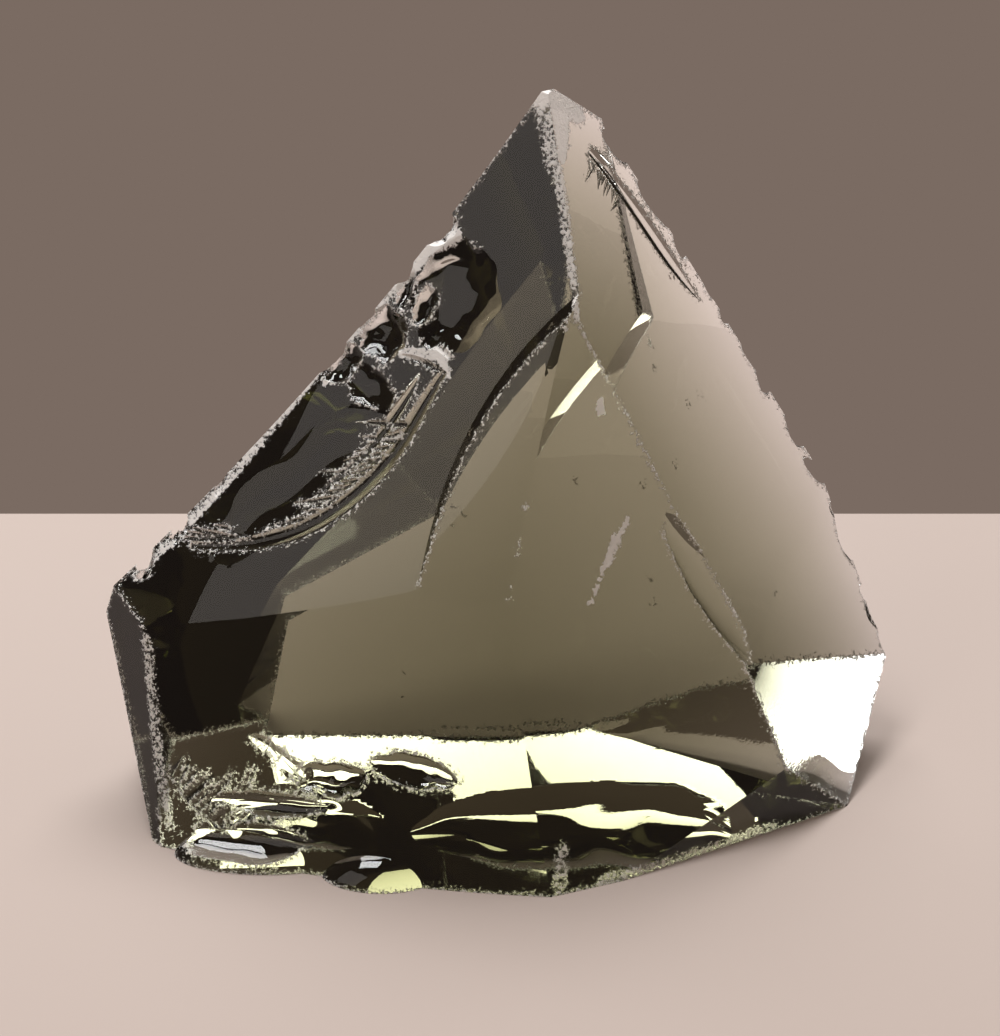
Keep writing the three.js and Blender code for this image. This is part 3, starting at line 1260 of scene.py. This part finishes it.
@dataclass
class Studio:
    """The floor, the lights, the backdrop tone and the camera. Lengths are in metres."""

    floor_depth: float = 2.4
    floor_back: float = 0.0621
    floor_drop: float = 0.00003
    floor_thickness: float = 0.06
    ramp_depth: float = 0.3
    ramp_slope: float = 33.0
    lights: tuple[SoftLight, ...] = (
        SoftLight("high_softbox", (-0.008, 0.437, 0.72), (0.6, 0.4), 7.9),
        SoftLight("top_panel", (-0.2, 0.05, 0.85), (0.3, 0.3), 4.0),
        SoftLight("left_panel", (-0.52, -0.374, 0.54), (0.5, 0.5), 0.8, (1.0, 0.92, 0.86)),
        SoftLight("low_card", (-0.30, 0.356, 0.03), (0.25, 0.15), 0.9),
    )
    camera_range: float = 0.52
    camera_elevation: float = 30.0
    camera_aim_mm: Point = (-0.346, 24.0, 36.0)
    camera_lens: float = 156.66
    camera_clip: tuple[float, float] = (0.01, 10.0)
    light_bounces: int = 24
    backdrop: Tone = Tone.BACKDROP

    def build(self) -> None:
        """Makes everything around the chunk."""
        self.build_floor()
        for light in self.lights:
            light.build()
        self.build_camera()
        self.build_view()
        self.build_world()

    def build_floor(self) -> None:
        """Makes the pale floor, whose back edge is the horizon and falls away behind it."""
        half = self.floor_depth / 2.0
        low = (-half, self.floor_back - self.floor_depth, -self.floor_drop - self.floor_thickness)
        high = (half, self.floor_back, -self.floor_drop)
        bm = box_mesh(low, high)
        back = [v for v in bm.verts if v.co.y > 0.0]
        ramp = bmesh.ops.extrude_face_region(
            bm, geom=[f for f in bm.faces if all(v in back for v in f.verts)]
        )["geom"]
        drop = math.tan(math.radians(self.ramp_slope)) * self.ramp_depth
        for vert in ramp:
            if isinstance(vert, bmesh.types.BMVert):
                vert.co += Vector((0.0, self.ramp_depth, -drop))
        floor = object_from(bm, "floor")
        floor.data.materials.append(PaleFloor().build())

    def build_camera(self) -> None:
        """Makes the camera, which looks down at the middle of the chunk."""
        camera = bpy.data.cameras.new("camera")
        camera.lens = self.camera_lens
        camera.clip_start, camera.clip_end = self.camera_clip
        stand = bpy.data.objects.new("camera", camera)
        tilt = math.radians(self.camera_elevation)
        forwards = Vector((0.0, math.cos(tilt), -math.sin(tilt)))
        aim = (Vector(self.camera_aim_mm) - Vector(ORIGIN_MM)) * MM
        stand.location = aim - forwards * self.camera_range
        stand.rotation_euler = (math.pi / 2.0 - tilt, 0.0, 0.0)
        bpy.context.scene.collection.objects.link(stand)
        bpy.context.scene.camera = stand

    def build_view(self) -> None:
        """Sets the plain view transform, and enough bounces for light to cross the glass."""
        scene = bpy.context.scene
        scene.view_settings.view_transform = "Standard"
        scene.cycles.max_bounces = self.light_bounces
        scene.cycles.glossy_bounces = self.light_bounces
        scene.cycles.transmission_bounces = self.light_bounces

    def build_world(self) -> None:
        """Sets the even backdrop tone."""
        world = bpy.data.worlds.new("backdrop")
        world.use_nodes = True
        sky = world.node_tree.nodes["Background"]
        sky.inputs["Color"].default_value = self.backdrop.linear()
        sky.inputs["Strength"].default_value = 1.0
        bpy.context.scene.world = world


def main() -> None:
    """Builds the studio and the chunk, and reports the chunk's number of faces."""
    logging.basicConfig(level=logging.INFO, format="%(message)s")
    Studio().build()
    chunk = GlassChunk().build()
    log.info("%s: %d faces", chunk.name, len(chunk.data.polygons))


if __name__ == "__main__":
    main()
